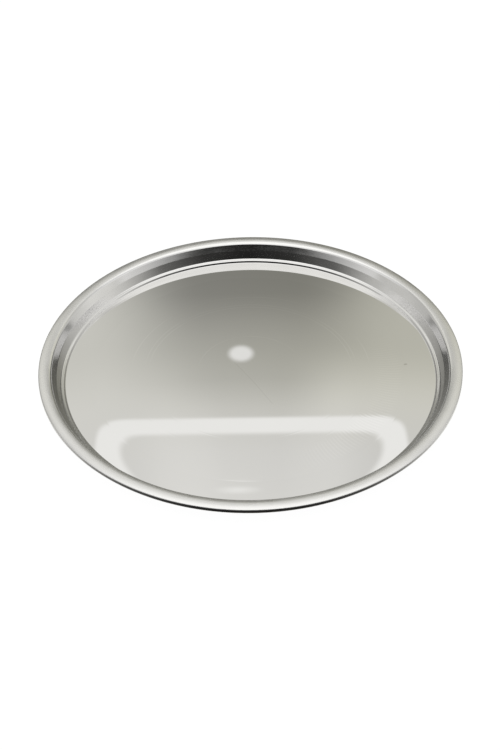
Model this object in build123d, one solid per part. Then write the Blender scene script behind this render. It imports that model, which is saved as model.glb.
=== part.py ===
from build123d import *
from math import cos, degrees, radians, sin
import os

# Round serving tray, spun from one steel sheet, with its rim rolled over a wire.
# All lengths are in millimetres and all angles in degrees.
# Z is the axis of symmetry. The underside of the base lies on z = 0.

# Overall sizes
tray_diameter = 400.0
tray_height = 19.7
sheet_thickness = 0.8

# Slopes of the upper surface, measured from level, going outwards from the base
riser_slope = 66.0
ledge_slope = 9.0
wall_slope = 65.5
flare_slope = 59.0
rim_inner_slope = 10.0
rim_outer_slope = -14.0
skirt_slope = -90.0

# Bend radii of the upper (outer) surface
riser_root_radius = 0.7
riser_top_radius = 1.0
wall_foot_radius = 1.3
wall_flare_radius = 10.0
wall_top_radius = 4.4
rim_crown_radius = 20.5
rim_edge_radius = 1.5

# Straight stretches between the bends
riser_length = 1.5
ledge_length = 1.2
flare_length = 6.2
skirt_length = 1.5

# Curl that closes the rim around the wire
wire_diameter = 2.8
wire_clearance = 0.12
wire_joint_gap = 0.5
curl_wrap = 238.0


def bend_size(radius, slope_in, slope_out):
    """Run (X) and rise (Y) of a bend that takes the sheet from one slope to another."""
    side = 1 if slope_out > slope_in else -1
    run = side * radius * (sin(radians(slope_out)) - sin(radians(slope_in)))
    rise = side * radius * (cos(radians(slope_in)) - cos(radians(slope_out)))
    return Vector(run, rise)


def straight_size(length, slope):
    """Run (X) and rise (Y) of a straight stretch of sheet."""
    return Vector(length * cos(radians(slope)), length * sin(radians(slope)))


# The wall takes up the height that the bends leave, and the flat base takes up the radius.
inside_size = (
    bend_size(riser_root_radius, 0, riser_slope)
    + straight_size(riser_length, riser_slope)
    + bend_size(riser_top_radius, riser_slope, ledge_slope)
    + straight_size(ledge_length, ledge_slope)
    + bend_size(wall_foot_radius, ledge_slope, wall_slope)
    + bend_size(wall_flare_radius, wall_slope, flare_slope)
    + straight_size(flare_length, flare_slope)
    + bend_size(wall_top_radius, flare_slope, rim_inner_slope)
)
crest_size = bend_size(rim_crown_radius, rim_inner_slope, 0)
wall_rise = tray_height - sheet_thickness - inside_size.Y - crest_size.Y
wall_length = wall_rise / sin(radians(wall_slope))
wall_size = straight_size(wall_length, wall_slope)
crown_size = bend_size(rim_crown_radius, rim_inner_slope, rim_outer_slope)
edge_size = bend_size(rim_edge_radius, rim_outer_slope, skirt_slope)
base_flat_radius = tray_diameter / 2 - (inside_size + wall_size + crown_size + edge_size).X

# The curl runs around the wire with a little clearance, at the lower end of the skirt.
curl_radius = wire_diameter / 2 + wire_clearance + sheet_thickness
curl_height = (
    sheet_thickness + (inside_size + wall_size + crown_size + edge_size).Y - skirt_length
)


# The sheet's section from the flat base outwards, in turn: the radius of a bend in the
# upper surface, the slope that it ends at, and the straight stretch after it.
section_steps = [
    (riser_root_radius, riser_slope, riser_length),
    (riser_top_radius, ledge_slope, ledge_length),
    (wall_foot_radius, wall_slope, wall_length),
    (wall_flare_radius, flare_slope, flare_length),
    (wall_top_radius, rim_inner_slope, 0),
    (rim_crown_radius, rim_outer_slope, 0),
    (rim_edge_radius, skirt_slope, skirt_length),
    (curl_radius, skirt_slope - curl_wrap, 0),
]


def sheet_side(depth):
    """Edges of the sheet's section at a depth under its upper surface, from the centre out."""
    height = sheet_thickness - depth
    edges = [Line((0, height), (base_flat_radius, height))]
    slope = 0
    for radius, next_slope, length in section_steps:
        turn = next_slope - slope
        side_radius = radius + depth if turn > 0 else radius - depth
        edges.append(JernArc(edges[-1] @ 1, edges[-1] % 1, side_radius, turn))
        if length > 0:
            edges.append(Line(edges[-1] @ 1, edges[-1] @ 1 + (edges[-1] % 1) * length))
        slope = next_slope
    return edges


def make_tray_pan():
    """Base, step, wall and rolled rim in one sheet, revolved about Z."""
    upper = sheet_side(0)
    lower = sheet_side(sheet_thickness)
    centre = Line(lower[0] @ 0, upper[0] @ 0)
    raw_edge = Line(upper[-1] @ 1, lower[-1] @ 1)
    section = make_face(upper + [raw_edge] + lower + [centre])
    return revolve(Plane.XZ * section, axis=Axis.Z)


def make_rim_wire():
    """Round wire bent to a ring, with the small gap where its two ends meet."""
    ring_radius = tray_diameter / 2 - curl_radius
    gap_angle = degrees(wire_joint_gap / ring_radius)
    section = Plane.XZ * Pos(ring_radius, curl_height) * Circle(wire_diameter / 2)
    return revolve(section, axis=Axis.Z, revolution_arc=360 - gap_angle)


os.makedirs("parts", exist_ok=True)
export_step(make_tray_pan(), "parts/tray_pan.step")
export_step(make_rim_wire(), "parts/rim_wire.step")
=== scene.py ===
import math

import bpy
from mathutils import Matrix, Vector


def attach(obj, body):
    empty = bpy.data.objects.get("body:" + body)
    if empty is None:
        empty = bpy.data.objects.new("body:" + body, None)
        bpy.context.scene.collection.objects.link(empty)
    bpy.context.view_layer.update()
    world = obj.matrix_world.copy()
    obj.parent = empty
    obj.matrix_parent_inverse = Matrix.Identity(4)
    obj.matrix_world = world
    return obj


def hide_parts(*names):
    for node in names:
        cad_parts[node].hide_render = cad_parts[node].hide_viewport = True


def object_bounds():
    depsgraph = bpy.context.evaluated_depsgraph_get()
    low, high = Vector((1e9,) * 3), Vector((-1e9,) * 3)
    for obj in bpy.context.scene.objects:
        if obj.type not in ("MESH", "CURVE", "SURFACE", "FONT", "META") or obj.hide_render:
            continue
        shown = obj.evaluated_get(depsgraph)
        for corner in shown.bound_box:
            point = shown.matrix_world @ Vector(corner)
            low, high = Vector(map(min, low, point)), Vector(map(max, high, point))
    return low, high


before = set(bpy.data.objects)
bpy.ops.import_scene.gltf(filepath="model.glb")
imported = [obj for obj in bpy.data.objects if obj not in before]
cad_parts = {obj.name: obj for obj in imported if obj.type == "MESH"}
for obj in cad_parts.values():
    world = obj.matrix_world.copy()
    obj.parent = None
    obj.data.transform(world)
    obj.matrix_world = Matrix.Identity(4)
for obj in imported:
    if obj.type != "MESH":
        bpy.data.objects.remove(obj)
cad_low, cad_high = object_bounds()

MM = 0.001

# ---------------------------------------------------------------------------------------
# The sheet's section, as the CAD has it: millimetres and degrees
# ---------------------------------------------------------------------------------------
SHEET = 0.8
TRAY_RADIUS = 200.0
TRAY_HEIGHT = 19.7
SKIRT_SLOPE = -90.0
CURL_RADIUS = 2.32
CURL_WRAP = 238.0
WALL_SLOPE = 65.5
# Each bend's radius in the upper surface, the slope it ends at, and the straight after it.
# None stands for the wall's length, which follows from the tray's height.
STEPS = [
    (0.7, 66.0, 1.5),
    (1.0, 9.0, 1.2),
    (1.3, WALL_SLOPE, None),
    (10.0, 59.0, 6.2),
    (4.4, 10.0, 0.0),
    (20.5, -14.0, 0.0),
    (1.5, SKIRT_SLOPE, 1.5),
    (CURL_RADIUS, SKIRT_SLOPE - CURL_WRAP, 0.0),
]

# Fineness of the mesh: faces round the tray, the largest turn of a bend between two rings,
# the longest stretch between two rings, and the rings' radii on the flat base
SEGMENTS = 480
DEGREES_PER_FACET = 8.0
STRAIGHT_FACET = 4.0
BASE_RINGS = [0, 8, 20, 44, 88, 132, 160]


def bend_size(radius, slope_in, slope_out):
    """Run and rise of a bend."""
    side = 1 if slope_out > slope_in else -1
    a, b = math.radians(slope_in), math.radians(slope_out)
    return side * radius * (math.sin(b) - math.sin(a)), side * radius * (math.cos(a) - math.cos(b))


def solve_section():
    """The wall's length and the flat base's radius, from the tray's height and diameter."""
    run, rise, crest, slope = 0.0, 0.0, 0.0, 0.0
    for radius, next_slope, length in STEPS[:-1]:
        if slope > 0 > next_slope:
            crest = rise + bend_size(radius, slope, 0)[1]
        dx, dy = bend_size(radius, slope, next_slope)
        run, rise, slope = run + dx, rise + dy, next_slope
        if length:
            run += length * math.cos(math.radians(slope))
            rise += length * math.sin(math.radians(slope))
    wall_rise = TRAY_HEIGHT - SHEET - crest
    wall = wall_rise / math.sin(math.radians(WALL_SLOPE))
    flat = TRAY_RADIUS - run - wall * math.cos(math.radians(WALL_SLOPE))
    return wall, flat


WALL_LENGTH, FLAT_RADIUS = solve_section()


def trace_side(depth):
    """Samples (radius, height, slope) along the sheet at a depth under its upper surface."""
    height = SHEET - depth
    samples = [(float(r), height, 0.0) for r in BASE_RINGS] + [(FLAT_RADIUS, height, 0.0)]
    r, z, slope = FLAT_RADIUS, height, 0.0
    for radius, next_slope, length in STEPS:
        side = 1 if next_slope > slope else -1
        bend_radius = radius + side * depth
        count = max(3, math.ceil(abs(next_slope - slope) / DEGREES_PER_FACET))
        start = slope
        for i in range(1, count + 1):
            here = start + (next_slope - start) * i / count
            dx, dy = bend_size(bend_radius, start, here)
            samples.append((r + dx, z + dy, here))
        dx, dy = bend_size(bend_radius, start, next_slope)
        r, z, slope = r + dx, z + dy, next_slope
        along_r, along_z = math.cos(math.radians(slope)), math.sin(math.radians(slope))
        stretch = WALL_LENGTH if length is None else length
        parts = max(1, math.ceil(stretch / STRAIGHT_FACET))
        for i in range(1, parts + 1):
            if stretch > 0:
                go = stretch * i / parts
                samples.append((r + go * along_r, z + go * along_z, slope))
        r += stretch * along_r
        z += stretch * along_z
    return samples


def lathe_pan():
    """The pan as one closed mesh turned about Z, with the exact normals of its section."""
    upper, lower = trace_side(0.0), trace_side(SHEET)
    chain = []
    for side, samples in ((1, upper), (-1, reversed(lower))):
        for r, z, slope in samples:
            turn = math.radians(slope)
            chain.append((r, z, -side * math.sin(turn), side * math.cos(turn)))
    raw_edge = len(upper) - 1
    end = math.radians(upper[-1][2])
    raw_normal = (math.cos(end), math.sin(end))

    turns = [2 * math.pi * i / SEGMENTS for i in range(SEGMENTS)]
    verts, rings = [], []
    for r, z, _, _ in chain:
        if r == 0:
            rings.append([len(verts)] * SEGMENTS)
            verts.append((0, 0, z * MM))
        else:
            rings.append(list(range(len(verts), len(verts) + SEGMENTS)))
            verts += [(r * MM * math.cos(t), r * MM * math.sin(t), z * MM) for t in turns]

    faces, normals = [], []
    for j in range(len(chain) - 1):
        inner, outer = rings[j], rings[j + 1]
        n0 = raw_normal if j == raw_edge else chain[j][2:]
        n1 = raw_normal if j == raw_edge else chain[j + 1][2:]
        for i in range(SEGMENTS):
            k = (i + 1) % SEGMENTS
            corners = [(inner[i], n0, i), (outer[i], n1, i), (outer[k], n1, k), (inner[k], n0, k)]
            if inner[i] == inner[k]:
                corners = [(inner[i], n0, i), (outer[i], n1, i), (outer[k], n1, k)]
            elif outer[i] == outer[k]:
                corners = [(inner[i], n0, i), (outer[i], n1, i), (inner[k], n0, k)]
            faces.append([c[0] for c in corners])
            normals += [
                (n[0] * math.cos(turns[m]), n[0] * math.sin(turns[m]), n[1]) for _, n, m in corners
            ]
    mesh = bpy.data.meshes.new("tray_pan_skin")
    mesh.from_pydata(verts, [], faces)
    mesh.polygons.foreach_set("use_smooth", [True] * len(mesh.polygons))
    mesh.normals_split_custom_set(normals)
    mesh.update()
    pan = bpy.data.objects.new("tray_pan_skin", mesh)
    bpy.context.scene.collection.objects.link(pan)
    return pan


# ---------------------------------------------------------------------------------------
# Node helpers
# ---------------------------------------------------------------------------------------
class Tree:
    """Short calls for building a node tree."""

    def __init__(self, tree):
        self.tree = tree
        tree.nodes.clear()

    def node(self, kind, **settings):
        made = self.tree.nodes.new(kind)
        for key, value in settings.items():
            setattr(made, key, value)
        return made

    def link(self, source, socket):
        self.tree.links.new(source, socket)

    def feed(self, socket, value):
        """Links an output, or sets a constant."""
        if isinstance(value, bpy.types.NodeSocket):
            self.link(value, socket)
        else:
            socket.default_value = value

    def math(self, operation, *values, clamp=False):
        made = self.node("ShaderNodeMath", operation=operation, use_clamp=clamp)
        for socket, value in zip(made.inputs, values):
            self.feed(socket, value)
        return made.outputs[0]

    def vector(self, operation, *values, scale=1.0):
        made = self.node("ShaderNodeVectorMath", operation=operation)
        for socket, value in zip(made.inputs, values):
            self.feed(socket, value)
        if operation == "SCALE":
            made.inputs["Scale"].default_value = scale
        return made.outputs["Value" if operation in ("LENGTH", "DOT_PRODUCT") else "Vector"]

    def combine(self, x, y, z):
        made = self.node("ShaderNodeCombineXYZ")
        for socket, value in zip(made.inputs, (x, y, z)):
            self.feed(socket, value)
        return made.outputs[0]

    def separate(self, vector):
        made = self.node("ShaderNodeSeparateXYZ")
        self.link(vector, made.inputs[0])
        return made.outputs

    def ramp(self, value, low, high, out_low=0.0, out_high=1.0, smooth=True):
        """Value from low to high becomes out_low to out_high, clamped."""
        made = self.node(
            "ShaderNodeMapRange", interpolation_type="SMOOTHSTEP" if smooth else "LINEAR"
        )
        for socket, item in zip(made.inputs, (value, low, high, out_low, out_high)):
            self.feed(socket, item)
        return made.outputs[0]

    def curve(self, value, low, high, points):
        """Piecewise linear function of a value: points are (value, result) pairs."""
        ramp = self.node("ShaderNodeValToRGB")
        self.link(self.ramp(value, low, high, smooth=False), ramp.inputs[0])
        stops = ramp.color_ramp.elements
        while len(stops) < len(points):
            stops.new(1.0)
        for stop, (at, result) in zip(stops, points):
            stop.position = (at - low) / (high - low)
            stop.color = (result, result, result, 1.0)
        return ramp.outputs["Color"]

    def blend(self, factor, a, b):
        """A number that goes from a to b as the factor goes from 0 to 1."""
        return self.math("ADD", a, self.math("MULTIPLY", factor, self.math("SUBTRACT", b, a)))

    def mix(self, factor, a, b):
        """A colour that goes from a to b as the factor goes from 0 to 1."""
        made = self.node("ShaderNodeMix", data_type="RGBA")
        self.feed(made.inputs["Factor"], factor)
        for socket, value in ((made.inputs["A"], a), (made.inputs["B"], b)):
            self.feed(socket, value)
        return made.outputs["Result"]

    def multiply(self, a, b):
        """Two colours multiplied."""
        made = self.node("ShaderNodeMix", data_type="RGBA", blend_type="MULTIPLY")
        made.inputs["Factor"].default_value = 1.0
        self.feed(made.inputs["A"], a)
        self.feed(made.inputs["B"], b)
        return made.outputs["Result"]

    def noise(self, vector, scale, detail=2.0, rough=0.5):
        made = self.node("ShaderNodeTexNoise", noise_dimensions="3D")
        self.link(vector, made.inputs["Vector"])
        made.inputs["Scale"].default_value = scale
        made.inputs["Detail"].default_value = detail
        made.inputs["Roughness"].default_value = rough
        return made.outputs["Fac"]


def new_material(name):
    material = bpy.data.materials.new(name)
    material.use_nodes = True
    return material, Tree(material.node_tree)


# ---------------------------------------------------------------------------------------
# Materials
# ---------------------------------------------------------------------------------------
# Radii in metres between which one finish passes into the next
BASE_TO_WALL = (0.1765, 0.1805)
WALL_TO_RIM = (0.1878, 0.1906)
# Marks on the base, in metres: rings painted pale as a painted highlight, and ring grooves with
# their depths in hundredths of a millimetre
GLINT_RINGS = (0.0500, 0.0980, 0.1020, 0.1150)
GROOVES = ((0.0500, 0.05), (0.0980, 0.07), (0.1150, 0.06), (0.1500, 0.12))
GROOVE_HALF_WIDTH = 0.0009
OUTER_GROOVE, BASE_EDGE, EDGE_RISE = 0.1500, 0.1763, 6.5
# Chatter ripples: how many a full turn would hold, the radius that they bow about, their bow,
# and the radii and angles (in radians) over which they fade in and out
CHATTER_COUNT, CHATTER_RADIUS, CHATTER_BOW = 240.0, 0.133, 14000.0
CHATTER_INNER, CHATTER_OUTER = (0.1160, 0.1250), (0.1480, 0.1400)
CHATTER_START, CHATTER_END = (-1.35, -0.95), (0.50, 0.0)
# The ripples' height, and the strength of the painted highlight on their crests
CHATTER_HEIGHT, CHATTER_GLINT = 0.022, 0.18
# A pit near the outermost groove, and a bent scratch near the middle: x and y in metres
PIT = ((0.1488, 0.0036), (0.1500, 0.0040))
SCRATCH = ((-0.0150, 0.0100), (0.0030, -0.0190), (0.0200, -0.0500))
STEEL_DULL, STEEL_BRIGHT = (0.705, 0.70, 0.69, 1.0), (0.74, 0.735, 0.725, 1.0)
# The pale colour is a painted highlight on the base's rings and ripple crests; the dark one is the
# pit's and the scratch's colour
STEEL_GLINT, STEEL_DARK = (0.84, 0.835, 0.825, 1.0), (0.20, 0.19, 0.17, 1.0)
HUNDREDTH_MM = 0.00001


def pan_material():
    """Spun stainless steel: mirror base, finely polished wall and satin rim."""
    material, t = new_material("polished_sheet")
    place = t.node("ShaderNodeTexCoord").outputs["Object"]
    x, y, z = t.separate(place)
    flat = t.combine(x, y, 0.0)
    radius = t.vector("LENGTH", flat)
    around = t.vector("NORMALIZE", flat)
    ax, ay, _ = t.separate(around)
    across = t.math("ADD", radius, z)

    def spin(along, over):
        """Coordinates stretched along the circumference, so noise turns into spin marks."""
        return t.combine(
            t.math("MULTIPLY", ax, along),
            t.math("MULTIPLY", ay, along),
            t.math("MULTIPLY", across, over),
        )

    # Where the surface leaves the mirror base, and where it is on the satin rim
    on_wall = t.ramp(radius, *BASE_TO_WALL)
    on_rim = t.ramp(radius, *WALL_TO_RIM)

    # Concentric marks: the finest and the broad ones are nearly constant around the tray
    fine = t.noise(spin(0.9, 2600.0), 1.0, 2.0, 0.6)
    broad = t.noise(spin(0.6, 160.0), 1.0, 3.0, 0.55)
    smudge = t.noise(spin(5.0, 60.0), 1.0, 3.0, 0.6)
    rings = t.noise(t.combine(t.math("MULTIPLY", radius, 90.0), 0.0, 0.0), 1.0, 3.0, 0.6)
    waves = t.noise(t.vector("SCALE", flat, scale=9.0), 1.0, 1.0, 0.4)

    rough_base = t.ramp(rings, 0.3, 0.7, 0.015, 0.019)
    rough_wall = t.ramp(smudge, 0.3, 0.7, 0.09, 0.13)
    rough_rim = t.ramp(smudge, 0.3, 0.75, 0.25, 0.32)
    rough = t.blend(on_wall, rough_base, rough_wall)
    rougher = t.math("SUBTRACT", rough_rim, rough_wall)
    rough = t.math("ADD", rough, t.math("MULTIPLY", on_rim, rougher))

    even = t.ramp(waves, 0.0, 1.0, 0.45, 0.60)
    tone = t.blend(on_wall, even, smudge)
    steel = t.mix(t.ramp(tone, 0.35, 0.7), STEEL_DULL, STEEL_BRIGHT)

    calm = t.math("SUBTRACT", 0.65, t.math("MULTIPLY", on_rim, 0.25))
    spun = t.math("MULTIPLY", t.math("ADD", broad, t.math("MULTIPLY", fine, 0.03)), calm)
    smooth = t.math("ADD", t.math("MULTIPLY", rings, 0.004), t.math("MULTIPLY", waves, 0.25))
    smooth = t.math("ADD", smooth, base_relief(t, radius, x, y))
    height = t.blend(on_wall, smooth, spun)
    bump = t.node("ShaderNodeBump")
    bump.inputs["Strength"].default_value = 1.0
    bump.inputs["Distance"].default_value = HUNDREDTH_MM
    t.link(height, bump.inputs["Height"])

    # Wear
    pit = t.ramp(stroke(t, x, y, *PIT), 0.0016, 0.0006)
    scratch = t.math("MINIMUM", stroke(t, x, y, *SCRATCH[:2]), stroke(t, x, y, *SCRATCH[1:]))
    wear = t.math("ADD", t.math("MULTIPLY", pit, 0.30), t.ramp(scratch, 0.0007, 0.0002, 0.0, 0.07))
    steel = t.mix(wear, steel, STEEL_DARK)
    # Painted highlight: pale rings, in patches on the far half of the base only, where the polished
    # rings catch the light
    glint_patches = t.ramp(t.noise(flat, 14.0, 2.0, 0.5), 0.36, 0.58, 0.0, 0.28)
    glint_patches = t.math("MULTIPLY", glint_patches, t.ramp(y, 0.0, 0.03))
    for ring in GLINT_RINGS:
        line = t.ramp(t.math("ABSOLUTE", t.math("SUBTRACT", radius, ring)), 0.0008, 0.0002)
        steel = t.mix(t.math("MULTIPLY", line, glint_patches), steel, STEEL_GLINT)
    # Painted highlight: the chatter ripples are real bumps, and their crests are also painted pale
    ripples = t.math("MULTIPLY", chatter_marks(t, radius, x, y), CHATTER_GLINT, clamp=True)
    steel = t.mix(ripples, steel, STEEL_GLINT)

    shader = t.node("ShaderNodeBsdfPrincipled")
    shader.inputs["Metallic"].default_value = 1.0
    t.link(steel, shader.inputs["Base Color"])
    t.link(rough, shader.inputs["Roughness"])
    t.link(bump.outputs["Normal"], shader.inputs["Normal"])
    out = t.node("ShaderNodeOutputMaterial")
    t.link(shader.outputs[0], out.inputs["Surface"])
    return material


def stroke(t, x, y, start, end):
    """Distance from the straight line between two points of the base."""
    run = Vector(end) - Vector(start)
    dx, dy = t.math("SUBTRACT", x, start[0]), t.math("SUBTRACT", y, start[1])
    go = t.math("ADD", t.math("MULTIPLY", dx, run.x), t.math("MULTIPLY", dy, run.y))
    go = t.math("DIVIDE", go, run.length_squared, clamp=True)
    off_x = t.math("SUBTRACT", dx, t.math("MULTIPLY", go, run.x))
    off_y = t.math("SUBTRACT", dy, t.math("MULTIPLY", go, run.y))
    return t.vector("LENGTH", t.combine(off_x, off_y, 0.0))


def base_relief(t, radius, x, y):
    """Height of the marks that spinning left in the base, in hundredths of a millimetre."""
    # From the outermost groove the base rises a little towards the step
    relief = t.ramp(radius, OUTER_GROOVE, BASE_EDGE, 0.0, EDGE_RISE, smooth=False)
    for ring, depth in GROOVES:
        off = t.math("ABSOLUTE", t.math("SUBTRACT", radius, ring))
        relief = t.math("SUBTRACT", relief, t.ramp(off, GROOVE_HALF_WIDTH, 0.0, 0.0, depth))
    ripples = t.math("MULTIPLY", chatter_marks(t, radius, x, y), CHATTER_HEIGHT)
    return t.math("ADD", relief, ripples)


def chatter_marks(t, radius, x, y):
    """Short radial ripples over part of the turn, from -1 to 1."""
    angle = t.math("ARCTAN2", y, x)
    off = t.math("ABSOLUTE", t.math("SUBTRACT", radius, CHATTER_RADIUS))
    bow = t.math("MULTIPLY", t.math("POWER", off, 2.0), CHATTER_BOW)
    phase = t.math("SUBTRACT", t.math("MULTIPLY", angle, CHATTER_COUNT), bow)
    sector = t.math("MULTIPLY", t.ramp(angle, *CHATTER_START), t.ramp(angle, *CHATTER_END))
    reach = t.math("MULTIPLY", t.ramp(radius, *CHATTER_INNER), t.ramp(radius, *CHATTER_OUTER))
    return t.math("MULTIPLY", t.math("SINE", phase), t.math("MULTIPLY", sector, reach))


def wire_material():
    """Drawn steel wire, with faint lines along its length."""
    material, t = new_material("wire_steel")
    place = t.node("ShaderNodeTexCoord").outputs["Object"]
    x, y, z = t.separate(place)
    flat = t.combine(x, y, 0.0)
    ax, ay, _ = t.separate(t.vector("NORMALIZE", flat))
    radius = t.vector("LENGTH", flat)
    along = t.combine(
        t.math("MULTIPLY", ax, 4.0),
        t.math("MULTIPLY", ay, 4.0),
        t.math("MULTIPLY", t.math("ADD", radius, z), 3000.0),
    )
    lines = t.noise(along, 1.0, 2.0, 0.5)
    shader = t.node("ShaderNodeBsdfPrincipled")
    shader.inputs["Metallic"].default_value = 1.0
    t.link(
        t.mix(lines, (0.50, 0.49, 0.47, 1.0), (0.66, 0.65, 0.63, 1.0)), shader.inputs["Base Color"]
    )
    t.link(t.ramp(lines, 0.3, 0.7, 0.28, 0.42), shader.inputs["Roughness"])
    out = t.node("ShaderNodeOutputMaterial")
    t.link(shader.outputs[0], out.inputs["Surface"])
    return material


# ---------------------------------------------------------------------------------------
# The tray
# ---------------------------------------------------------------------------------------
pan = lathe_pan()
pan.data.materials.append(pan_material())
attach(pan, "root")
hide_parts("tray_pan")

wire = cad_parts["rim_wire"]
wire_steel = wire_material()
for slot in wire.material_slots:
    slot.material = wire_steel

# ---------------------------------------------------------------------------------------
# Floor, lights and surroundings
# ---------------------------------------------------------------------------------------
def make_floor():
    """A wide pale disc just under the tray."""
    count, reach = 96, 12.0
    mesh = bpy.data.meshes.new("floor")
    ring = [2 * math.pi * i / count for i in range(count)]
    z = cad_low.z - 0.0002
    mesh.from_pydata(
        [(reach * math.cos(a), reach * math.sin(a), z) for a in ring], [], [list(range(count))]
    )
    floor = bpy.data.objects.new("floor", mesh)
    bpy.context.scene.collection.objects.link(floor)
    material, t = new_material("floor_paint")
    place = t.node("ShaderNodeTexCoord").outputs["Object"]
    shade = t.noise(place, 3.0, 2.0, 0.5)
    shader = t.node("ShaderNodeBsdfPrincipled")
    t.link(t.mix(shade, (0.03, 0.03, 0.03, 1.0), (0.05, 0.05, 0.05, 1.0)), shader.inputs["Base Color"])
    shader.inputs["Roughness"].default_value = 1.0
    shader.inputs["Specular IOR Level"].default_value = 0.0
    shader.inputs["Emission Color"].default_value = (1.0, 1.0, 1.0, 1.0)
    shader.inputs["Emission Strength"].default_value = 0.98
    out = t.node("ShaderNodeOutputMaterial")
    t.link(shader.outputs[0], out.inputs["Surface"])
    mesh.materials.append(material)
    floor.visible_glossy = False
    return floor


# ---------------------------------------------------------------------------------------
# Surroundings: by direction, as the steel reflects them. Angles are in degrees. "aside" is
# the angle from the far end (+Y), 0, round to the camera end, 180, on either side.
# ---------------------------------------------------------------------------------------
# The panel, the lamp and the glow are placed by where the level base shows them to an eye at
# this height over it and this far from its centre: u to the right and v away from the eye, in mm
EYE_HEIGHT = 719.7
EYE_DISTANCE = 847.2
# Ceiling panel: how far up its bright edge and its dim middle come, and half their widths
EDGE_TOP, EDGE_HALF_WIDTH, EDGE_ROUND = -67.5, 137.5, 30.0
MIDDLE_TOP, MIDDLE_HALF_WIDTH, MIDDLE_ROUND = -88.5, 116.5, 24.0
# Slanted side of the dim middle: its direction and its distance from the centre
SLANT_U, SLANT_V, SLANT_REACH = 0.78, 0.625, 164.0
PANEL_FADE_LOW, PANEL_FADE_HIGH = -260.0, -200.0
LAMP_PLACE, LAMP_CORE, LAMP_RIM = (-9.0, 25.0), 7.5, 15.5
GLOW_PLACE, GLOW_SIZE, GLOW_LEVEL = (-12.0, -152.0), (26.0, 6.5), 0.7


def grey(level):
    return (level, level, level, 1.0)


def room_light(t, x, elevation, aside):
    """The ground, the dark part of the room and the lit part, below the ceiling."""
    ground = t.curve(aside, 0, 180, [
        (0, 1.0), (60, 0.9), (80, 0.40), (105, 0.08), (140, 0.018), (180, 0.014),
    ])
    dark = t.curve(aside, 0, 180, [
        (0, 0.31), (10, 0.28), (22, 0.21), (42, 0.12), (58, 0.28), (75, 0.74), (180, 0.74),
    ])
    lit = t.curve(aside, 0, 180, [
        (0, 0.64), (12, 0.68), (25, 0.96), (36, 0.78), (52, 0.62), (70, 0.68), (82, 0.80),
        (95, 0.76), (105, 0.64), (129, 0.15), (154, 0.037), (180, 0.017),
    ])
    middle = t.curve(elevation, -90, 90, [
        (-90, 0.28), (25, 0.28), (30, 0.25), (36.4, 0.285), (37.2, 0.35), (38.4, 0.45),
        (40.3, 0.56), (41.2, 0.60), (41.7, 0.70), (43.9, 0.85), (46, 0.90), (52, 0.94),
    ])
    # A paler strip along the horizon
    horizon = t.math("MULTIPLY", t.ramp(elevation, 9.0, 3.0), t.ramp(aside, 10.0, 30.0))
    strip = t.mix(t.ramp(aside, 60.0, 75.0), grey(0.27), dark)
    dark = t.mix(horizon, dark, strip)
    # The lit part starts lower at the sides than at the far end
    over_tent = t.math("ADD", elevation, t.math("MULTIPLY", aside, 0.55))
    room = t.mix(t.ramp(over_tent, 35.0, 41.0), dark, lit)
    room = t.mix(t.ramp(aside, 10.0, 2.5), room, middle)
    # Both flanks of the far end get lighter upwards, the right one more
    beside = t.math("MULTIPLY", t.ramp(aside, 1.5, 6.5), t.ramp(aside, 30.0, 14.0))
    more = t.math("MULTIPLY", t.ramp(elevation, 38.7, 42.0), t.ramp(x, -0.05, 0.08, 0.13, 0.26))
    room = t.mix(t.math("MULTIPLY", beside, more), room, grey(1.4))
    return t.mix(t.ramp(elevation, -15.0, -9.0), ground, room)


def room_tint(t, x, y, elevation, aside):
    """A slightly warm far end, and a little more light on one side than on the other."""
    far_tint = t.mix(t.ramp(x, -0.16, 0.12), (1.0, 0.995, 0.93, 1.0), (1.0, 0.99, 0.87, 1.0))
    less_tint = t.math("MAXIMUM", t.ramp(elevation, 39.0, 45.0), t.ramp(aside, 25.0, 60.0))
    tint = t.mix(less_tint, far_tint, (1.0, 0.995, 0.965, 1.0))
    sideways = t.math("DEGREES", t.math("ARCTAN2", x, y))
    lean = t.curve(sideways, -180, 180, [
        (-180, 1.0), (-105, 0.93), (-82, 0.88), (-45, 1.0), (-10, 1.12), (0, 1.0), (10, 0.92),
        (45, 1.0), (82, 1.14), (105, 1.08), (180, 1.0),
    ])
    return t.multiply(tint, lean)


def ceiling_light(t, elevation, aside):
    """How much a direction is ceiling, and the ceiling's light."""
    # The ceiling's lower edge and the softness of that edge, in hundreds of degrees
    start = t.curve(aside, 0, 180, [
        (0, 0.54), (60, 0.44), (80, 0.24), (105, 0.125), (129, 0.200), (154, 0.284), (180, 0.350),
    ])
    spread = t.curve(aside, 0, 180, [
        (0, 0.12), (60, 0.14), (105, 0.10), (129, 0.075), (154, 0.05), (180, 0.022),
    ])
    above = t.math("DIVIDE", t.math("SUBTRACT", t.math("DIVIDE", elevation, 100.0), start), spread)
    upper = t.curve(aside, 0, 180, [
        (0, 0.94), (60, 0.88), (105, 1.08), (129, 0.98), (154, 1.3), (180, 1.5),
    ])
    upper = t.math("MULTIPLY", upper, t.ramp(elevation, 24.0, 38.0, 1.0, 0.84))
    light = t.mix(t.ramp(elevation, 44.0, 64.0), upper, (1.38, 1.38, 1.36, 1.0))
    return t.ramp(above, 0.0, 1.0), light


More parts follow.
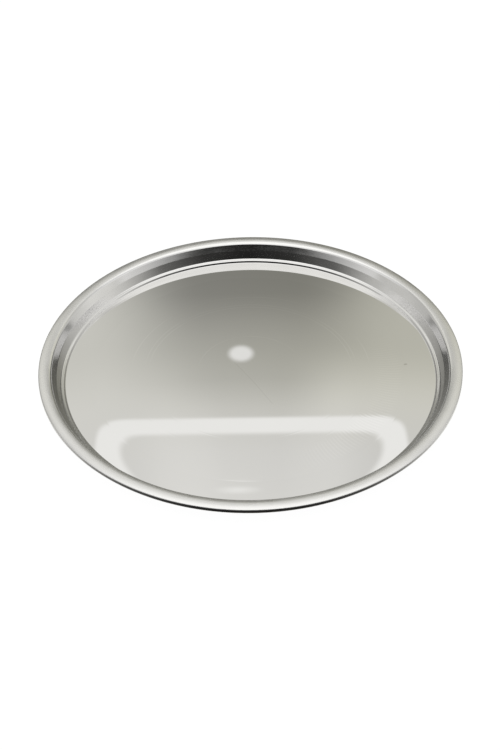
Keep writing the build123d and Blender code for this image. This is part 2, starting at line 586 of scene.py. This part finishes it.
def panel_edge(t, u, v):
    """How much a place is the bright edge of the ceiling panel, with round corners."""
    aside_u = t.math("ABSOLUTE", u)
    edge = t.math(
        "SMOOTH_MIN",
        t.math("SUBTRACT", EDGE_TOP, v),
        t.math("SUBTRACT", EDGE_HALF_WIDTH, aside_u),
        EDGE_ROUND,
    )
    slant = t.math("SUBTRACT", t.math("MULTIPLY", v, SLANT_V), t.math("MULTIPLY", aside_u, SLANT_U))
    dim = t.math(
        "SMOOTH_MIN",
        t.math("SUBTRACT", MIDDLE_TOP, v),
        t.math("SUBTRACT", MIDDLE_HALF_WIDTH, aside_u),
        MIDDLE_ROUND,
    )
    dim = t.math("SMOOTH_MIN", dim, t.math("ADD", slant, SLANT_REACH), MIDDLE_ROUND)
    band = t.math("MULTIPLY", t.ramp(edge, -2.6, 3.0), t.ramp(dim, 4.0, -3.5))
    return t.math("MULTIPLY", band, t.ramp(v, PANEL_FADE_LOW, PANEL_FADE_HIGH))


def make_world():
    """A white studio ceiling, bright sides, a dim far end and a dark camera end."""
    world = bpy.data.worlds.new("studio")
    bpy.context.scene.world = world
    world.use_nodes = True
    t = Tree(world.node_tree)
    way = t.node("ShaderNodeTexCoord").outputs["Generated"]
    x, y, z = t.separate(way)
    level = t.vector("LENGTH", t.combine(x, y, 0.0))
    elevation = t.math("DEGREES", t.math("ARCTAN2", z, t.math("MAXIMUM", level, 0.0001)))
    aside = t.math("DEGREES", t.math("ARCTAN2", t.math("ABSOLUTE", x), y))

    light = t.multiply(room_light(t, x, elevation, aside), room_tint(t, x, y, elevation, aside))
    ceiling, white = ceiling_light(t, elevation, aside)
    light = t.mix(ceiling, light, white)

    # Where the level base shows this direction
    safe_z = t.math("MAXIMUM", z, 0.02)
    u = t.math("MULTIPLY", t.math("DIVIDE", x, safe_z), EYE_HEIGHT)
    v = t.math("MULTIPLY", t.math("DIVIDE", y, safe_z), EYE_HEIGHT)
    v = t.math("SUBTRACT", v, EYE_DISTANCE)
    light = t.mix(panel_edge(t, u, v), light, (1.10, 1.10, 1.08, 1.0))

    # Round lamp
    du, dv = t.math("SUBTRACT", u, LAMP_PLACE[0]), t.math("SUBTRACT", v, LAMP_PLACE[1])
    lamp = t.ramp(t.vector("LENGTH", t.combine(du, dv, 0.0)), LAMP_RIM, LAMP_CORE)
    light = t.mix(lamp, light, (1.0, 1.0, 0.98, 1.0))

    # Faint glow close to the camera
    gu = t.math("DIVIDE", t.math("SUBTRACT", u, GLOW_PLACE[0]), GLOW_SIZE[0])
    gv = t.math("DIVIDE", t.math("SUBTRACT", v, GLOW_PLACE[1]), GLOW_SIZE[1])
    glow = t.ramp(t.vector("LENGTH", t.combine(gu, gv, 0.0)), 1.0, 0.0, 0.0, GLOW_LEVEL)
    light = t.mix(glow, light, (1.14, 1.14, 1.12, 1.0))

    show = t.node("ShaderNodeBackground")
    t.link(light, show.inputs["Color"])
    plain = t.node("ShaderNodeBackground")
    plain.inputs["Color"].default_value = grey(1.0)
    both = t.node("ShaderNodeMixShader")
    t.link(t.node("ShaderNodeLightPath").outputs["Is Camera Ray"], both.inputs[0])
    t.link(show.outputs[0], both.inputs[1])
    t.link(plain.outputs[0], both.inputs[2])
    out = t.node("ShaderNodeOutputWorld")
    t.link(both.outputs[0], out.inputs["Surface"])


def make_key_light():
    """A wide soft light overhead that only lifts the floor."""
    data = bpy.data.lights.new("overhead", "AREA")
    data.shape = "DISK"
    data.size = 3.0
    data.energy = 30.0
    light = bpy.data.objects.new("overhead", data)
    light.location = (0.0, 0.0, 2.5)
    light.visible_glossy = False
    light.visible_camera = False
    bpy.context.scene.collection.objects.link(light)


def make_camera():
    """The camera: its height, distance, roll and angle of view."""
    rim_height = cad_high.z - 0.6 * MM
    stand_off, stand_angle = 1.0982, math.radians(39.58)
    tilt, pan_angle, roll = math.radians(40.60), math.radians(-0.032), math.radians(-0.86)
    data = bpy.data.cameras.new("camera")
    data.sensor_width = 36.0
    data.lens = 1155.52 / 750.0 * data.sensor_width
    camera = bpy.data.objects.new("camera", data)
    forward = Vector((
        math.sin(pan_angle) * math.cos(tilt), math.cos(pan_angle) * math.cos(tilt), -math.sin(tilt),
    ))
    level = Vector((math.cos(pan_angle), -math.sin(pan_angle), 0.0))
    upright = level.cross(forward)
    right = math.cos(roll) * level + math.sin(roll) * upright
    up = math.cos(roll) * upright - math.sin(roll) * level
    place = Vector((
        0.0, -stand_off * math.cos(stand_angle), rim_height + stand_off * math.sin(stand_angle),
    ))
    turn = Matrix((right, up, -forward)).transposed()
    camera.matrix_world = Matrix.Translation(place) @ turn.to_4x4()
    bpy.context.scene.collection.objects.link(camera)
    bpy.context.scene.camera = camera


make_floor()
make_world()
make_key_light()
make_camera()
bpy.context.scene.view_settings.view_transform = "Standard"
